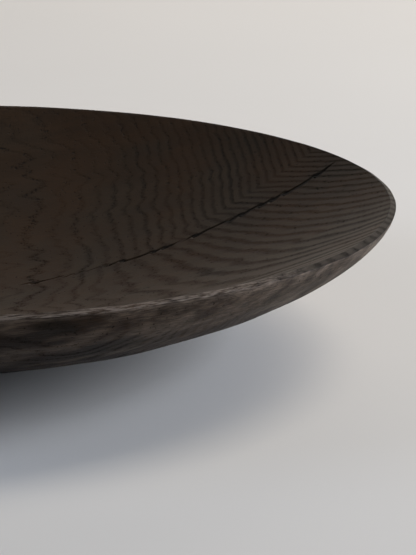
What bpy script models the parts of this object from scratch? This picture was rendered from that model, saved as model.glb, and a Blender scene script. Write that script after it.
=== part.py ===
"""Shallow carved wooden bowl with a drying check stopped with dark filler.

Metres, +Z up.  The origin is the centre of the flat base, and +Z is the bowl's axis.
The wood's grain runs along X.
"""

import math

import bmesh
import bpy
from mathutils import Vector

# Driving dimensions of the bowl.
RIM_RADIUS = 0.150
BOWL_HEIGHT = 0.044
BASE_RADIUS = 0.041
FLOOR_THICKNESS = 0.0065
RIM_EDGE_WIDTH = 0.0018
RIM_EDGE_DROP = 0.0010
WALL_FULLNESS = 0.68
DISH_POWER = 1.8
DISH_CENTRE_BLEND = 0.020

# Driving dimensions of the drying check.  It opens along a plane that holds the grain direction,
# and it is interrupted, so it is three openings in one line.
CHECK_OFFSET = 0.061
CHECK_LEAN = math.radians(47.0)
CHECK_RIM_MARGIN = 0.006
OPENING_LENGTHS = {"outer": 0.046, "middle": 0.024, "inner": 0.010}
OUTER_GAP = 0.007
INNER_GAP = 0.014
FILL_WIDTH = 0.0008
FILL_DEPTH = 0.0022
FILL_END_DEPTH = 0.0010
FILL_RECESS = 0.0004
CHECK_CLEARANCE = 0.0003
CUTTER_RISE = 0.003

# How finely the shapes are divided.
TURN_SEGMENTS = 96
DISH_RINGS = 14
WALL_RINGS = 12
WALL_RING_CROWDING = 1.4
STATION_SPACING = 0.005
SHARP_ANGLE = math.radians(20.0)
MERGE_DISTANCE = 0.000001

DISH_RADIUS = RIM_RADIUS - RIM_EDGE_WIDTH
DISH_DEPTH = BOWL_HEIGHT - FLOOR_THICKNESS
WALL_TOP = BOWL_HEIGHT - RIM_EDGE_DROP
CHECK_DOWN = Vector((0.0, -math.sin(CHECK_LEAN), -math.cos(CHECK_LEAN)))
CHECK_ACROSS = Vector((0.0, math.cos(CHECK_LEAN), -math.sin(CHECK_LEAN)))


def clear_scene():
    """Remove every object that the file holds."""
    for item in list(bpy.data.objects):
        bpy.data.objects.remove(item, do_unlink=True)


def make_material(name, colour, roughness, metallic=0.0):
    """Return a Principled material of one colour."""
    material = bpy.data.materials.new(name)
    material.use_nodes = True
    shader = material.node_tree.nodes["Principled BSDF"]
    shader.inputs["Base Color"].default_value = (*colour, 1.0)
    shader.inputs["Roughness"].default_value = roughness
    shader.inputs["Metallic"].default_value = metallic
    return material


def add_object(name, shape, material):
    """Link a bmesh to the scene as a named object, smooth but for its sharp edges."""
    mesh = bpy.data.meshes.new(name)
    bmesh.ops.recalc_face_normals(shape, faces=shape.faces)
    shape.to_mesh(mesh)
    shape.free()
    mesh.shade_smooth()
    mesh.set_sharp_from_angle(angle=SHARP_ANGLE)
    if material is not None:
        mesh.materials.append(material)
    item = bpy.data.objects.new(name, mesh)
    bpy.context.scene.collection.objects.link(item)
    return item


def root_of(rising, low, high):
    """Where a rising function crosses zero between two values, by halving."""
    for _ in range(50):
        middle = (low + high) / 2.0
        if rising(middle) < 0.0:
            low = middle
        else:
            high = middle
    return (low + high) / 2.0


def dish_height(radius):
    """Height of the inside surface at a radius: a power curve, rounded off around the centre."""
    blend = DISH_CENTRE_BLEND / DISH_RADIUS
    share = radius / DISH_RADIUS
    low = blend ** DISH_POWER
    high = (1.0 + blend * blend) ** (DISH_POWER / 2.0)
    curve = (share * share + blend * blend) ** (DISH_POWER / 2.0)
    return FLOOR_THICKNESS + DISH_DEPTH * (curve - low) / (high - low)


def wall_radius(height):
    """Radius of the outside surface at a height, from the base's edge to the rim's outer edge."""
    fall = (WALL_TOP - height) / WALL_TOP
    base_share = BASE_RADIUS / RIM_RADIUS
    shrink = (1.0 - base_share ** 2) * fall ** (1.0 / WALL_FULLNESS)
    return RIM_RADIUS * math.sqrt(1.0 - shrink)


def bowl_outline():
    """Half section of the bowl: up the dish, over the rim edge, down the wall and across the base."""
    outline = []
    for ring in range(DISH_RINGS + 1):
        radius = DISH_RADIUS * ring / DISH_RINGS
        outline.append((radius, dish_height(radius)))
    for ring in range(WALL_RINGS + 1):
        height = WALL_TOP * (1.0 - (ring / WALL_RINGS) ** WALL_RING_CROWDING)
        outline.append((wall_radius(height), height))
    outline.append((0.0, 0.0))
    return outline


def check_point(along):
    """The point where the check's plane meets the dish, at a distance along the grain."""

    def offset_at(height):
        return CHECK_OFFSET - (BOWL_HEIGHT - height) * math.tan(CHECK_LEAN)

    def above_dish(height):
        return height - dish_height(math.hypot(along, offset_at(height)))

    height = root_of(above_dish, FLOOR_THICKNESS, BOWL_HEIGHT)
    return Vector((along, offset_at(height), height))


def check_spans():
    """Start and end of each opening along the grain, from the rim inwards."""

    def beyond_margin(along):
        point = check_point(along)
        return math.hypot(point.x, point.y) - (DISH_RADIUS - CHECK_RIM_MARGIN)

    rim_end = root_of(beyond_margin, 0.0, math.sqrt(DISH_RADIUS ** 2 - CHECK_OFFSET ** 2))
    spans = {}
    gaps = {"outer": 0.0, "middle": OUTER_GAP, "inner": INNER_GAP}
    for name, length in OPENING_LENGTHS.items():
        far_end = rim_end - gaps[name]
        rim_end = far_end - length
        spans[name] = (rim_end, far_end)
    return spans


def blade(start, end, above, grow):
    """A curved blade in the check's plane, under the dish between two places along the grain.

    Its top edge is `above` over the dish, or under it when negative.  Its lower edge bows down in
    an arc, deepest half way.  `grow` widens it, deepens it and lengthens it, all round.
    """
    shape = bmesh.new()
    steps = max(3, round((end - start) / STATION_SPACING))
    side = CHECK_ACROSS * (FILL_WIDTH / 2.0 + grow)
    sections = []
    for step in range(steps + 1):
        share = step / steps
        along = (start - grow) + (end - start + 2.0 * grow) * share
        surface = check_point(along)
        bow = 4.0 * share * (1.0 - share)
        depth = FILL_END_DEPTH + (FILL_DEPTH - FILL_END_DEPTH) * bow + grow
        upper = surface - CHECK_DOWN * above
        lower = surface + CHECK_DOWN * depth
        corners = (upper + side, upper - side, lower - side, lower + side)
        sections.append([shape.verts.new(corner) for corner in corners])
    for first, second in zip(sections, sections[1:]):
        for corner in range(4):
            following = (corner + 1) % 4
            shape.faces.new((first[corner], first[following], second[following], second[corner]))
    shape.faces.new(sections[0])
    shape.faces.new(sections[-1])
    return shape


def make_bowl_body(material):
    """Turn the bowl's half section round its axis."""
    shape = bmesh.new()
    corners = [shape.verts.new((radius, 0.0, height)) for radius, height in bowl_outline()]
    edges = [shape.edges.new(pair) for pair in zip(corners, corners[1:])]
    bmesh.ops.spin(
        shape,
        geom=corners + edges,
        cent=(0.0, 0.0, 0.0),
        axis=(0.0, 0.0, 1.0),
        angle=2.0 * math.pi,
        steps=TURN_SEGMENTS,
        use_merge=True,
    )
    bmesh.ops.remove_doubles(shape, verts=shape.verts, dist=MERGE_DISTANCE)
    return add_object("bowl_body", shape, material)


def cut_check_opening(body, name, start, end):
    """Cut one opening of the drying check into the dish, a clearance wider than its filler."""
    cutter = add_object(f"check_cutter_{name}", blade(start, end, CUTTER_RISE, CHECK_CLEARANCE), None)
    cutter.hide_render = True
    cutter.display_type = "WIRE"
    cut = body.modifiers.new(f"check_{name}", "BOOLEAN")
    cut.operation = "DIFFERENCE"
    cut.solver = "EXACT"
    cut.object = cutter


def main():
    """Build the bowl, and the filler in each opening of its drying check."""
    clear_scene()
    dark_stained_ash = make_material("dark_stained_ash", (0.030, 0.020, 0.015), 0.55)
    black_filler = make_material("black_wax_filler", (0.008, 0.006, 0.005), 0.70)
    body = make_bowl_body(dark_stained_ash)
    for name, (start, end) in check_spans().items():
        cut_check_opening(body, name, start, end)
        add_object(f"check_fill_{name}", blade(start, end, -FILL_RECESS, 0.0), black_filler)


main()
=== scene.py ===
"""Looks of a shallow carved wooden bowl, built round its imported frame.

The bowl is one block of dark-stained ash, dished smooth inside and knife-faceted outside.  A drying
check runs down the inside and is stopped with black wax.  Metres, +Z up; the grain runs along X.
"""

import logging
import math
from dataclasses import dataclass
from enum import Enum
from functools import partial
from typing import Callable, Sequence

import bpy
import mathutils
import numpy as np
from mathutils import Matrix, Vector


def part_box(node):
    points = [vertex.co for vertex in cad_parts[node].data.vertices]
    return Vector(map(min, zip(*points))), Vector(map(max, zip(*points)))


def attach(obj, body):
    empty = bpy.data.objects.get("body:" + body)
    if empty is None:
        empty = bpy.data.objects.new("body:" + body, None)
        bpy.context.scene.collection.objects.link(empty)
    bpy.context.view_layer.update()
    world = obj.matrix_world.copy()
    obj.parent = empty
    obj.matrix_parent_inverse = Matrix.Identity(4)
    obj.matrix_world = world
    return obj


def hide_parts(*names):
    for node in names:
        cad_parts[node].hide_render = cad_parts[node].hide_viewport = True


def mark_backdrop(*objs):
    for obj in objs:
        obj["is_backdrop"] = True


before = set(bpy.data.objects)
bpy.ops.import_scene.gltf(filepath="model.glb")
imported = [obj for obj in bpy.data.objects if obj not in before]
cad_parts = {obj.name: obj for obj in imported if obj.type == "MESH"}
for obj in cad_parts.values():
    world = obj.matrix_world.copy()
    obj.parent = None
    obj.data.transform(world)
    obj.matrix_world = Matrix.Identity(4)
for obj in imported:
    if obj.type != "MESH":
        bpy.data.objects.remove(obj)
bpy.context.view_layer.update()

LOG = logging.getLogger("carved_bowl")
MM = 0.001

ROOT_BODY = "root"
BOWL_NODE = "bowl_body"
FILL_NODES = ("check_fill_outer", "check_fill_middle", "check_fill_inner")
BOWL_ATTRIBUTES = (
    "rings_near", "rings_far", "check_shade_and_stain", "outside", "rim_wear_and_highlight", "end_grain", "side_rim", "rim_edge",
)


class Slot(Enum):
    """Material slots of the record."""

    WOOD = "carved_wood"
    FILLER = "check_filler"


class Kind(Enum):
    """Kinds of shader node in use."""

    ATTRIBUTE = "ShaderNodeAttribute"
    PLACE = "ShaderNodeTexCoord"
    MAPPING = "ShaderNodeMapping"
    NOISE = "ShaderNodeTexNoise"
    MATH = "ShaderNodeMath"
    RANGE = "ShaderNodeMapRange"
    RAMP = "ShaderNodeValToRGB"
    CHANCE = "ShaderNodeTexWhiteNoise"
    MIX = "ShaderNodeMix"
    BUMP = "ShaderNodeBump"
    SHADER = "ShaderNodeBsdfPrincipled"
    OUTPUT = "ShaderNodeOutputMaterial"


class Mix(Enum):
    """Socket numbers of a mix node that blends colours."""

    FACTOR = 0
    FIRST = 6
    SECOND = 7
    RESULT = 2


def linear(hex_colour: str) -> tuple[float, float, float, float]:
    """Turn an sRGB hex colour into the linear RGBA that the shaders take.

    Args:
        hex_colour: six hex digits, such as "3a2c22".

    Returns:
        Linear red, green, blue and an alpha of one.
    """
    channels = [int(hex_colour[start : start + 2], 16) / 255.0 for start in (0, 2, 4)]
    curved = [c / 12.92 if c <= 0.04045 else ((c + 0.055) / 1.055) ** 2.4 for c in channels]
    return (curved[0], curved[1], curved[2], 1.0)


def smooth_step(low: float, high: float, values: np.ndarray) -> np.ndarray:
    """Rise from 0 at low to 1 at high along 3t^2 - 2t^3.

    Args:
        low: value where the rise starts.
        high: value where it ends.
        values: where to read it.

    Returns:
        The rise at each value.
    """
    share = np.clip((values - low) / (high - low), 0.0, 1.0)
    return share * share * (3.0 - 2.0 * share)


def around_axis(radius: np.ndarray, angle: np.ndarray, height: np.ndarray) -> np.ndarray:
    """Positions (radius cos angle, radius sin angle, height), with the three along the last axis."""
    parts = np.broadcast_arrays(radius * np.cos(angle), radius * np.sin(angle), height)
    return np.stack(parts, axis=-1)


def running_length(line: np.ndarray) -> np.ndarray:
    """Length of a line of points from its start to each of them."""
    return np.concatenate([[0.0], np.cumsum(np.linalg.norm(np.diff(line, axis=0), axis=1))])


def read_line(line: np.ndarray, marks: np.ndarray, where: np.ndarray) -> np.ndarray:
    """Read a line of points, straight between them, at places that their marks count."""
    return np.stack([np.interp(where, marks, column) for column in line.T], axis=-1)


@dataclass(frozen=True)
class Ripple:
    """One layer of smooth, seeded unevenness: its strength, its crests' spacing and its seed."""

    strength: float
    wavelength: float
    seed: int
    waves: int = 18

    def at(self, points: np.ndarray) -> np.ndarray:
        """Strength times the sum of sine waves in random directions, over the root of their number.

        Each wave is sin(k . p + phase) with |k| = 2 pi / (wavelength times 0.7 to 1.5).

        Args:
            points: positions, with the coordinates along the last axis.

        Returns:
            A value for each point, about as large as the strength at most.
        """
        draw = np.random.default_rng(self.seed)
        heading = draw.normal(size=(self.waves, points.shape[-1]))
        heading /= np.linalg.norm(heading, axis=1, keepdims=True)
        stretch = draw.uniform(0.7, 1.5, size=(self.waves, 1))
        numbers = heading * 2.0 * math.pi / (self.wavelength * stretch)
        phases = draw.uniform(0.0, 2.0 * math.pi, size=self.waves)
        return self.strength * (np.sin(points @ numbers.T + phases).sum(axis=-1) / math.sqrt(self.waves))


def uneven(points: np.ndarray, layers: Sequence[Ripple], highest: float = 1.0) -> np.ndarray:
    """Add layers of unevenness to a level of a half, and hold the sum between 0 and a highest value.

    Args:
        points: positions, with the coordinates along the last axis.
        layers: the ripples.
        highest: the most that the result may be.

    Returns:
        A value for each point.
    """
    level = np.full(points.shape[:-1], 0.5)
    for layer in layers:
        level = level + layer.at(points)
    return np.clip(level, 0.0, highest)


def add_node(
    tree: bpy.types.NodeTree,
    kind: Kind,
    inputs: dict[str | int | Mix, object] | None = None,
    output: str | int | Mix = 0,
    stops: Sequence[tuple[float, float | str]] = (),
    **properties: object,
) -> bpy.types.NodeSocket | None:
    """Add a shader node, set it and link it.

    Args:
        tree: node tree of the material.
        kind: which node.
        inputs: by an input's name or number, the socket to link in or the value to set.
        output: name or number of the output to hand on.
        stops: for a colour ramp, its positions with a grey level or a hex colour each.
        properties: the node's own settings.

    Returns:
        The output, or nothing where the node has none.
    """
    node = tree.nodes.new(kind.value)
    for name, setting in properties.items():
        setattr(node, name, setting)
    for name, value in (inputs or {}).items():
        socket = node.inputs[name.value if isinstance(name, Mix) else name]
        if isinstance(value, bpy.types.NodeSocket):
            tree.links.new(value, socket)
        else:
            socket.default_value = value
    if stops:
        band = node.color_ramp.elements
        while len(band) < len(stops):
            band.new(0.5)
        for element, (position, shade) in zip(band, stops):
            element.position = position
            element.color = linear(shade) if isinstance(shade, str) else (shade, shade, shade, 1.0)
    return node.outputs[output.value if isinstance(output, Mix) else output] if node.outputs else None


def new_material(name: str) -> bpy.types.Material:
    """Make a material whose node tree is still empty.

    Args:
        name: name of the material.

    Returns:
        The material.
    """
    material = bpy.data.materials.new(name)
    material.use_nodes = True
    material.node_tree.nodes.clear()
    return material


def build_mesh(name: str, points: np.ndarray, faces: Sequence[Sequence[int]]) -> bpy.types.Mesh:
    """Make a smooth-shaded mesh from points and faces.

    Args:
        name: name of the mesh.
        points: positions, one row each.
        faces: corner numbers of each face, counter-clockwise seen from outside.

    Returns:
        The mesh.
    """
    mesh = bpy.data.meshes.new(name)
    mesh.from_pydata(points.tolist(), [], [list(face) for face in faces])
    mesh.validate()
    mesh.shade_smooth()
    return mesh


def closed_grid_faces(rows: int, columns: int) -> list[tuple[int, ...]]:
    """Join a first pole, rings of points and a last pole into a closed surface.

    The points are numbered pole, ring after ring, pole.  The faces look outwards where a ring runs
    counter-clockwise as seen from ahead of the first pole, looking back at it.

    Args:
        rows: how many rings.
        columns: points in each ring.

    Returns:
        Corner numbers of the faces.
    """
    last = rows * columns + 1
    number = 1 + np.arange(rows * columns).reshape(rows, columns)
    onward = np.roll(number, -1, axis=1)
    quads = np.stack([number[:-1], number[1:], onward[1:], onward[:-1]], axis=-1).reshape(-1, 4)
    first_fan = np.stack([np.zeros(columns, int), number[0], onward[0]], axis=-1)
    last_fan = np.stack([np.full(columns, last), onward[-1], number[-1]], axis=-1)
    return [*map(tuple, quads.tolist()), *map(tuple, first_fan.tolist()), *map(tuple, last_fan.tolist())]


def store_value(mesh: bpy.types.Mesh, name: str, values: np.ndarray) -> None:
    """Keep one number for each point of a mesh as a named attribute.

    Args:
        mesh: the mesh.
        name: attribute's name.
        values: one number for each point.
    """
    attribute = mesh.attributes.new(name, "FLOAT", "POINT")
    attribute.data.foreach_set("value", values.astype(np.float32))


def store_grid(
    mesh: bpy.types.Mesh, name: str, values: np.ndarray, first: float = 0.0, last: float = 0.0
) -> None:
    """Keep one number for each point of a closed grid as a named attribute.

    Args:
        mesh: the mesh.
        name: attribute's name.
        values: numbers, rings by columns.
        first: number at the first pole.
        last: number at the last pole.
    """
    store_value(mesh, name, np.concatenate([[first], values.ravel(), [last]]))


def new_piece(mesh: bpy.types.Mesh) -> bpy.types.Object:
    """Put a mesh into the scene as an object that sits at the origin.

    Args:
        mesh: the mesh, which names the object.

    Returns:
        The object.
    """
    piece = bpy.data.objects.new(mesh.name, mesh)
    bpy.context.scene.collection.objects.link(piece)
    return piece


def dress_piece(piece: bpy.types.Object, finish: bpy.types.Material, node: str) -> None:
    """Give a piece its finish, let it ride on the bowl and stand for its plain solid.

    Args:
        piece: the piece.
        finish: its material.
        node: the solid that it stands for.
    """
    piece.data.materials.append(finish)
    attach(piece, ROOT_BODY)
    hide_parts(node)
    LOG.info("%s: %d faces", piece.name, len(piece.data.polygons))


@dataclass(frozen=True)
class Section:
    """Half section of the bowl, in the sizes that the solid bowl was turned to."""

    rim_radius: float
    height: float
    base_radius: float = 41.0 * MM
    floor_thickness: float = 6.5 * MM
    edge_width: float = 1.8 * MM
    edge_drop: float = 1.0 * MM
    # Powers of the wall's and the dish's curves, and how far round the centre the dish is level.
    wall_fullness: float = 0.68
    dish_power: float = 1.8
    centre_blend: float = 20.0 * MM
    # How far the arrises of the rim and of the base are eased.
    rim_ease: float = 0.25 * MM
    base_ease: float = 1.2 * MM
    # The wall's curve is worked out at this many places, crowded towards the rim.
    wall_samples: int = 4000
    wall_crowding: float = 1.5

    @property
    def dish_radius(self) -> float:
        """Radius of the rim's inner edge."""
        return self.rim_radius - self.edge_width

    @property
    def wall_top(self) -> float:
        """Height of the rim's outer edge."""
        return self.height - self.edge_drop

    def dish_height(self, radius: np.ndarray) -> np.ndarray:
        """Height of the dish: floor + depth times a power of the radius, rounded off at the centre.

        Args:
            radius: distance from the bowl's axis.

        Returns:
            Height of the inside surface there.
        """
        blend = self.centre_blend / self.dish_radius
        half = self.dish_power / 2.0
        low, high = blend**self.dish_power, (1.0 + blend * blend) ** half
        curve = ((radius / self.dish_radius) ** 2 + blend * blend) ** half
        depth = self.height - self.floor_thickness
        return self.floor_thickness + depth * (curve - low) / (high - low)

    def wall_radius(self, height: np.ndarray) -> np.ndarray:
        """Radius of the outside wall: the fall below the rim goes as (1 - r^2 / R^2) to a power.

        Args:
            height: height above the base.

        Returns:
            Radius of the outside surface there.
        """
        fall = np.clip((self.wall_top - height) / self.wall_top, 0.0, 1.0)
        shrink = (1.0 - (self.base_radius / self.rim_radius) ** 2) * fall ** (1.0 / self.wall_fullness)
        return self.rim_radius * np.sqrt(1.0 - shrink)

    def outline(self, rows: "RowCounts") -> "Outline":
        """Walk the half section from the dish's centre, over the rim, to the base's centre.

        Corners are eased by a parabola that is tangent to both sides.

        Args:
            rows: how many points each stretch takes.

        Returns:
            The points, with the stretch that each belongs to.
        """
        ease = self.rim_ease
        radius = np.linspace(0.0, self.dish_radius - ease, rows.dish)
        dish = np.stack([radius, self.dish_height(radius)], axis=1)
        inner = np.array([self.dish_radius, self.height])
        outer = np.array([self.rim_radius, self.wall_top])
        along_edge = (outer - inner) / np.linalg.norm(outer - inner)
        fine = self.wall_top * (1.0 - np.linspace(0.0, 1.0, self.wall_samples) ** self.wall_crowding)
        wall = np.stack([self.wall_radius(fine), fine], axis=1)
        clear_of_foot = wall[:, 0] > self.base_radius + self.base_ease
        wall = wall[(wall[:, 1] < self.wall_top - ease) & clear_of_foot]
        wall = evenly_spaced(wall, rows.wall)
        foot = np.array([self.base_radius, 0.0])
        base_radius = np.linspace(self.base_radius - self.base_ease, 0.0, rows.base)
        base = np.stack([base_radius, np.zeros(rows.base)], axis=1)
        stretches = [
            (Stretch.DISH, dish),
            (Stretch.EDGE, eased_corner(dish[-1], inner, inner + ease * along_edge, rows.corner)),
            (Stretch.EDGE, eased_corner(outer - ease * along_edge, outer, wall[0], rows.corner)),
            (Stretch.WALL, wall),
            (Stretch.FOOT, eased_corner(wall[-1], foot, base[0], rows.corner)),
            (Stretch.FOOT, base),
        ]
        points = np.concatenate([part for _, part in stretches])
        kinds = np.concatenate([np.full(len(part), kind.value) for kind, part in stretches])
        return Outline(points, kinds)


class Stretch(Enum):
    """Stretches of the half section, in the order that the outline passes them."""

    DISH = 0
    EDGE = 1
    WALL = 2
    FOOT = 3


@dataclass(frozen=True)
class RowCounts:
    """Points that each stretch of the outline takes."""

    dish: int = 150
    corner: int = 4
    wall: int = 65
    base: int = 5


@dataclass(frozen=True)
class Outline:
    """Points of the half section, radius and height, and the stretch of each."""

    points: np.ndarray
    kinds: np.ndarray

    def normals(self) -> np.ndarray:
        """Unit normals that point out of the wood: the outline's direction turned a quarter left.

        Returns:
            Radius and height parts of each normal.
        """
        run = np.gradient(self.points, axis=0)
        run /= np.linalg.norm(run, axis=1, keepdims=True)
        return np.stack([-run[:, 1], run[:, 0]], axis=1)

    def rows_of(self, stretch: Stretch) -> np.ndarray:
        """Tell which points belong to a stretch."""
        return self.kinds == stretch.value


def evenly_spaced(line: np.ndarray, count: int) -> np.ndarray:
    """Read a line again at a number of equal steps of its length."""
    length = running_length(line)
    return read_line(line, length, np.linspace(0.0, length[-1], count))


def eased_corner(start: np.ndarray, corner: np.ndarray, end: np.ndarray, count: int) -> np.ndarray:
    """Round a corner with the parabola (1-t)^2 start + 2t(1-t) corner + t^2 end.

    Args:
        start: where the easing leaves the first side.
        corner: the sharp corner.
        end: where it joins the second side.
        count: how many points to return, without start and end.

    Returns:
        Points between start and end.
    """
    share = np.linspace(0.0, 1.0, count + 2)[1:-1, None]
    return (1 - share) ** 2 * start + 2 * share * (1 - share) * corner + share**2 * end


@dataclass(frozen=True)
class GrowthRings:
    """The log's growth rings, counted outwards from a ring above the dish.

    On the +X half the rings don't change along the grain; on the other half the log bends a little.
    Across the grain they fold: on the near side of the fold they rise gently towards -Y, on the far
    side they rise towards +Y, and the fold is sharp.
    """

    rim_radius: float
    rim_height: float
    # Coefficients of the two families: a, b, c, d, e and f of the sum that counts gives.
    near_start: float = 6.04
    near_across: float = -23.5
    near_down: float = -37.7
    near_bow: float = -0.8
    near_twist: float = -101.0
    near_swell: float = 47.0
    far_start: float = -11.2
    far_across: float = -11.8
    far_down: float = -134.5
    far_bow: float = 41.5
    far_twist: float = -50.5
    far_swell: float = -31.0
    # The dent's middle and reach, in rim radii, and how many rings deep it is.
    island_at: tuple[float, float, float] = (0.12, -0.91, -0.10)
    island_size: tuple[float, float, float] = (0.19, 0.30, 0.20)
    island_rings: float = -8.3
    # Where the log starts to bend, in rim radii, and p, q and r of what the rings gain there.
    bend_from: float = 0.13
    bend: tuple[float, float, float] = (1.2, 1.0, 1.5)

    def counts(self, points: np.ndarray) -> tuple[np.ndarray, np.ndarray]:
        """Ring numbers of two curved families of sheets; the wood shows the larger one.

        Each family is a + b y + c z + d y^2 + e y z + f z^2, with y and z in rim radii from the rim's
        centre.  A soft dent in the sheets, exp(-distance^2), makes the closed figure on the wall.
        Past the place where the log bends, s rim radii further along, they gain s (p + q s + r y).

        Args:
            points: positions on the bowl.

        Returns:
            Ring numbers of the near and the far family, smooth real numbers, for each point.
        """
        scaled = (points - np.array([0.0, 0.0, self.rim_height])) / self.rim_radius
        y, z = scaled[..., 1], scaled[..., 2]
        near = (
            self.near_start + self.near_across * y + self.near_down * z
            + self.near_bow * y * y + self.near_twist * y * z + self.near_swell * z * z
        )
        far = (
            self.far_start + self.far_across * y + self.far_down * z
            + self.far_bow * y * y + self.far_twist * y * z + self.far_swell * z * z
        )
        away = ((scaled - np.array(self.island_at)) / np.array(self.island_size)) ** 2
        dent = self.island_rings * np.exp(-away.sum(axis=-1))
        past = np.clip(self.bend_from - scaled[..., 0], 0.0, None)
        drift = dent + past * (self.bend[0] + self.bend[1] * past + self.bend[2] * y)
        return near + drift, far + drift


@dataclass(frozen=True)
class DryingCheck:
    """The crack that the wood opened as it dried, along a plane that holds the grain direction.

    It advances in steps: each step widens as it goes inwards, then starts again, thin, a little aside.
    It is wide in its openings, each from a low to a high X, and a hairline between them.
    """

    section: Section
    openings: tuple[tuple[float, float], ...]
    offset: float = 61.0 * MM
    lean: float = math.radians(47.0)
    inner_end: float = 24.0 * MM
    outer_end: float = 136.0 * MM
    end_taper: float = 6.0 * MM
    opening_taper: float = 2.0 * MM
    # Steps: their length, how uneven it is (strength, pace and start of two waves), how far they
    # jog aside, where in a step they start back, and a slow wander on top.
    step: float = 6.2 * MM
    step_unevenness: float = 0.35
    step_waves: tuple[tuple[float, float, float], ...] = ((1.0, 1.3, 0.0), (0.6, 2.9, 1.0))
    jog: float = 1.10 * MM
    jog_turn: float = 0.85
    wander: float = 0.2
    wander_length: float = 7.0 * MM
    # Half widths, and the share of them that is left at the inner end.
    thin: float = 0.24 * MM
    wide: float = 0.80 * MM
    widening_power: float = 1.2
    hairline: float = 0.06 * MM
    inner_share: float = 0.38
    narrow_until: float = 40.0 * MM
    full_from: float = 100.0 * MM
    # Depths, and how far the walls slope.
    depth: float = 1.5 * MM
    hairline_depth: float = 0.35 * MM
    wall_shore: float = 0.07 * MM
    least_half_width: float = 0.02 * MM
    # Painted shade on the walls, and the stain in the wood beside them.
    dark_shore: float = 0.08 * MM
    stain: float = 0.62
    stain_start: float = 0.05 * MM
    stain_shore: float = 0.32 * MM
    shade_and_stain_run: float = 0.55 * MM
    # How finely places on the dish are found.
    halvings: int = 40
    bearing_samples: int = 400

    @property
    def down(self) -> np.ndarray:
        """Direction into the wood, within the check's plane."""
        return np.array([0.0, -math.sin(self.lean), -math.cos(self.lean)])

    @property
    def across(self) -> np.ndarray:
        return np.array([0.0, math.cos(self.lean), -math.sin(self.lean)])

    def distance(self, points: np.ndarray) -> np.ndarray:
        """Signed distance of points from the check's plane."""
        return (points - np.array([0.0, self.offset, self.section.height])) @ self.across

    def step_share(self, along: np.ndarray) -> np.ndarray:
        """How far a place along the grain is into its step: 0 at the thin end, 1 at the wide one.

        Args:
            along: places along X.

        Returns:
            Share of the step, 0 to 1.
        """
        turns = (self.outer_end - along) / self.step
        waves = (share * np.sin(pace * turns + start) for share, pace, start in self.step_waves)
        turns = turns + self.step_unevenness * sum(waves)
        return turns - np.floor(turns)

    def aside(self, along: np.ndarray) -> np.ndarray:
        """Distance of the crack's middle from its plane: a saw-tooth with a quick way back.

        Args:
            along: places along X.

        Returns:
            Offset across the plane.
        """
        share = self.step_share(along)
        back = self.jog_turn
        tooth = np.where(share < back, share / back, (1.0 - share) / (1.0 - back))
        return self.jog * (0.5 - tooth) + self.wander * self.jog * np.sin(along / self.wander_length)

    def fullness(self, along: np.ndarray) -> np.ndarray:
        """Share of its full width that the crack has: less towards its inner end."""
        return self.inner_share + (1.0 - self.inner_share) * smooth_step(
            self.narrow_until, self.full_from, along
        )

    def half_width(self, along: np.ndarray) -> np.ndarray:
        """Half of the crack's width, which runs out at both ends.

        Args:
            along: places along X.

        Returns:
            Half width at each place.
        """
        share = self.step_share(along)
        taper = self.opening_taper
        open_part = np.zeros_like(along)
        for low, high in self.openings:
            inside = smooth_step(low - taper, low, along) * (1.0 - smooth_step(high, high + taper, along))
            open_part = np.maximum(open_part, inside)
        swollen = self.thin + (self.wide - self.thin) * share**self.widening_power
        swollen *= self.fullness(along)
        width = self.hairline + (swollen - self.hairline) * open_part
        ends = smooth_step(self.inner_end, self.inner_end + self.end_taper, along)
        ends = ends * (1.0 - smooth_step(self.outer_end - self.end_taper, self.outer_end, along))
        return width * ends

    def depth_at(self, points: np.ndarray) -> np.ndarray:
        """How deep the crack is below points of the dish: full depth within its half width.

        Args:
            points: positions on the uncracked dish.

        Returns:
            Depth along the check's plane.
        """
        along = points[..., 0]
        half = self.half_width(along)
        off = np.abs(self.distance(points) - self.aside(along))
        inside = 1.0 - smooth_step(0.0, 1.0, (off - half) / self.wall_shore)
        share = np.clip((half - self.hairline) / (self.thin - self.hairline), 0.0, 1.0)
        deep = self.hairline_depth + (self.depth - self.hairline_depth) * share
        return np.where(half > self.least_half_width, inside * deep, 0.0)

    def shade_at(self, points: np.ndarray) -> np.ndarray:
        """Painted shade on the check's walls and the stain beside them; the darkest of three places along
        the grain counts, so that the blunt end of a step is shaded too.

        Args:
            points: positions on the uncracked dish.

        Returns:
            Darkness, 0 to 1.
        """
        off = self.distance(points)
        darkest = np.zeros(points.shape[:-1])
        for shift in (-self.shade_and_stain_run, 0.0, self.shade_and_stain_run):
            along = points[..., 0] + shift
            half = self.half_width(along)
            beyond = np.abs(off - self.aside(along)) - half
            open_share = np.clip(half / self.thin, 0.0, 1.0)
            # Painted shade on the walls of the check.
            walls = 1.0 - smooth_step(0.0, self.dark_shore, beyond)
            # Stain soaked into the wood beside the check.
            stained = 1.0 - smooth_step(self.stain_start, self.stain_shore, beyond)
            stained = self.stain * self.fullness(along) * stained
            darkest = np.maximum(darkest, open_share * np.maximum(walls, stained))
        return darkest

    def surface_points(self, along: np.ndarray, off: np.ndarray) -> np.ndarray:
        """Points of the dish at places along the grain and at distances from the check's plane.

        The height is found by halving between the dish's floor and the rim.

        Args:
            along: places along X.
            off: distances from the plane.

        Returns:
            Positions on the dish.
        """
        low = np.full(np.broadcast(along, off).shape, self.section.floor_thickness)
        high = np.full(low.shape, self.section.height)
        for _ in range(self.halvings):
            middle = (low + high) / 2.0
            above = middle > self.section.dish_height(np.hypot(along, self.plane_y(middle, off)))
            high = np.where(above, middle, high)
            low = np.where(above, low, middle)
        return np.stack([along + 0.0 * low, self.plane_y(low, off), low], axis=-1)

    def plane_y(self, height: np.ndarray, off: np.ndarray) -> np.ndarray:
        """Y of a place that lies off the leaning plane by a distance, at a height."""
        fall = (self.section.height - height) * math.tan(self.lean)
        return self.offset - fall + off / math.cos(self.lean)

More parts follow.
